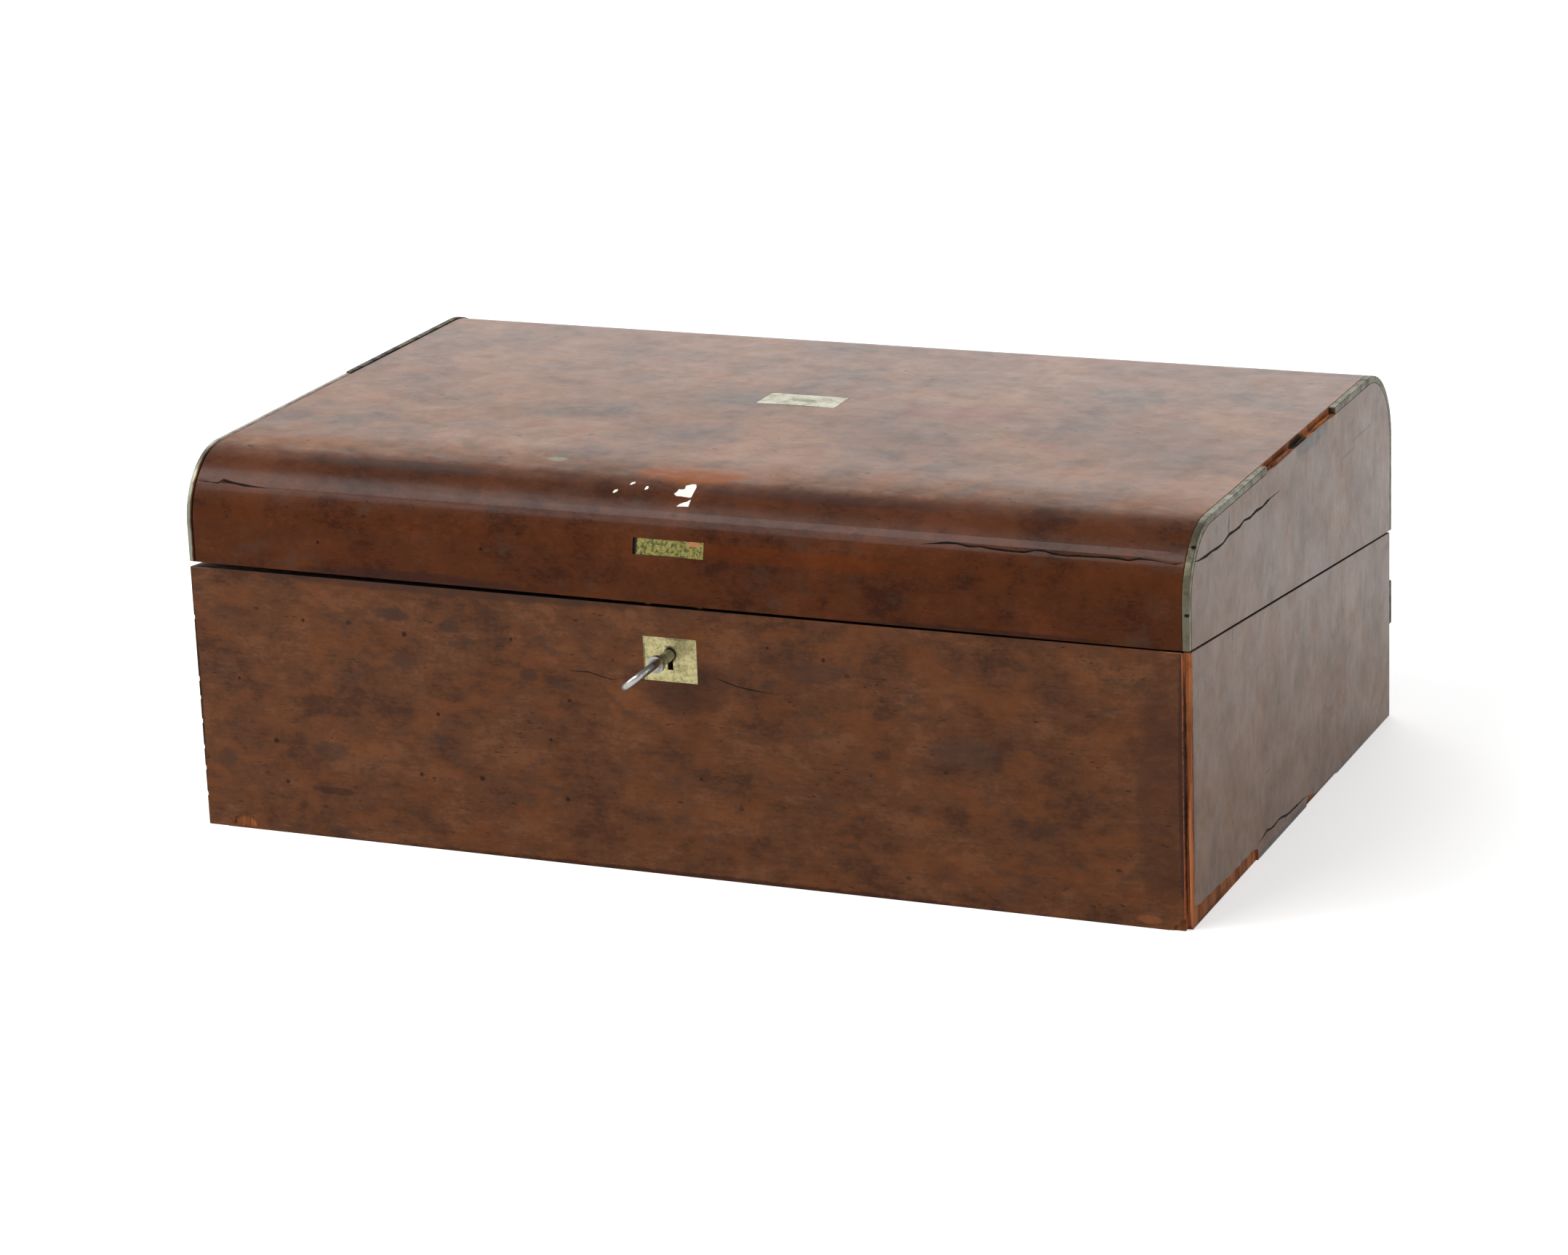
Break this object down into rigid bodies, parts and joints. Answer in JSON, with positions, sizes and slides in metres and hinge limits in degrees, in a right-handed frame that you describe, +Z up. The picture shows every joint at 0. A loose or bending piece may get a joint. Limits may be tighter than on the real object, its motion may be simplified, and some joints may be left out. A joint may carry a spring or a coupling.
{
  "type": "writing box",
  "caption": "Round-shouldered wooden writing box cut along a slope, with a hinged lid, inner writing flaps, pen tray, inkwells and a box lock with its key.",
  "frame": {"origin": "on the floor under the middle of the case", "axes": "+X to the right when the keyhole is faced, +Y to the back, +Z up; the keyhole faces -Y"},
  "size_m": [0.42, 0.3129, 0.1555],
  "materials": {
    "mahogany": "worn varnished mahogany veneer, warm dark brown, hazy on top",
    "inner_wood": "plain mahogany, thinly polished",
    "aged_brass": "dull aged brass, pale and a little green",
    "dark_brass": "brass blackened with grime",
    "steel": "dull grey steel with light tarnish",
    "writing_leather": "worn dark red-brown skiver",
    "ink_glass": "clear pressed glass, faintly green"
  },
  "bodies": {
    "base": {"base_front": "mahogany", "base_back": "mahogany", "base_side_left": "mahogany", "base_side_right": "mahogany", "base_bottom": "inner_wood", "pen_partition": "inner_wood", "ink_partition_left": "inner_wood", "tray_partition": "inner_wood", "ink_partition_right": "inner_wood", "pen_tray": "inner_wood", "ink_floor_left": "inner_wood", "ink_floor_right": "inner_wood", "base_flap_ledges": "inner_wood", "escutcheon": "aged_brass", "lock_selvedge": "aged_brass", "hinge_base_leaf_left": "aged_brass", "hinge_base_leaf_right": "aged_brass", "base_flap_hinge_fixed_leaves": "aged_brass", "inkwell_collar_left": "aged_brass", "inkwell_collar_right": "aged_brass", "inkwell_cap_left": "aged_brass", "inkwell_cap_right": "aged_brass", "corner_edging_remnant": "dark_brass", "lock_case": "steel", "lock_cap": "steel", "hinge_pin_left": "steel", "hinge_pin_right": "steel", "base_flap_hinge_pins": "steel", "hinge_base_screws": "steel", "lock_screws": "steel", "inkwell_left": "ink_glass", "inkwell_right": "ink_glass"},
    "lid": {"lid_front": "mahogany", "lid_top": "mahogany", "lid_back": "mahogany", "lid_side_left": "mahogany", "lid_side_right": "mahogany", "edging_left_front": "aged_brass", "edging_left_rear": "dark_brass", "edging_right_front": "aged_brass", "edging_right_rear": "aged_brass", "nameplate": "aged_brass", "front_inlay": "aged_brass", "link_plate": "aged_brass", "link_screws": "steel", "hinge_lid_leaf_left": "aged_brass", "hinge_lid_leaf_right": "aged_brass", "hinge_lid_screws": "steel", "lid_flap_ledges": "inner_wood", "lid_flap_hinge_fixed_leaves": "aged_brass", "lid_flap_hinge_pins": "steel"},
    "base_flap": {"base_flap": "inner_wood", "base_flap_leather": "writing_leather", "base_flap_hinge_moving_leaves": "aged_brass"},
    "lid_flap": {"lid_flap": "inner_wood", "lid_flap_leather": "writing_leather", "lid_flap_hinge_moving_leaves": "aged_brass"},
    "key": {"key": "steel"},
    "lock_bolt": {"lock_bolt": "steel"}
  },
  "joints": [
    {"name": "lid_hinge", "type": "hinge", "parent": "base", "child": "lid", "pos_m": [0, 0.13635, 0.08076], "axis": [-1, 0, 0], "range_deg": [0, 180]},
    {"name": "base_flap_hinge", "type": "hinge", "parent": "base", "child": "base_flap", "pos_m": [0, 0.12557, 0.08041], "axis": [-1, 0, 0], "range_deg": [0, 80]},
    {"name": "lid_flap_hinge", "type": "hinge", "parent": "lid", "child": "lid_flap", "pos_m": [0, 0.12479, 0.08431], "axis": [1, 0, 0], "range_deg": [0, 80]},
    {"name": "key_turn", "type": "hinge", "parent": "base", "child": "key", "pos_m": [0, -0.15, 0.0907], "axis": [0, 1, 0], "range_deg": [-52, 308]},
    {"name": "bolt_slide", "type": "slide", "parent": "base", "child": "lock_bolt", "axis": [1, 0, 0], "range_m": [-0.00072, 0.00428]}
  ],
  "couplings": [
    {"joint": "base_flap_hinge", "follows": "lid_hinge", "ratio": 0.4444},
    {"joint": "lid_flap_hinge", "follows": "lid_hinge", "ratio": 0.4444},
    {"joint": "bolt_slide", "follows": "key_turn", "m_per_rad": 0.00079577}
  ]
}
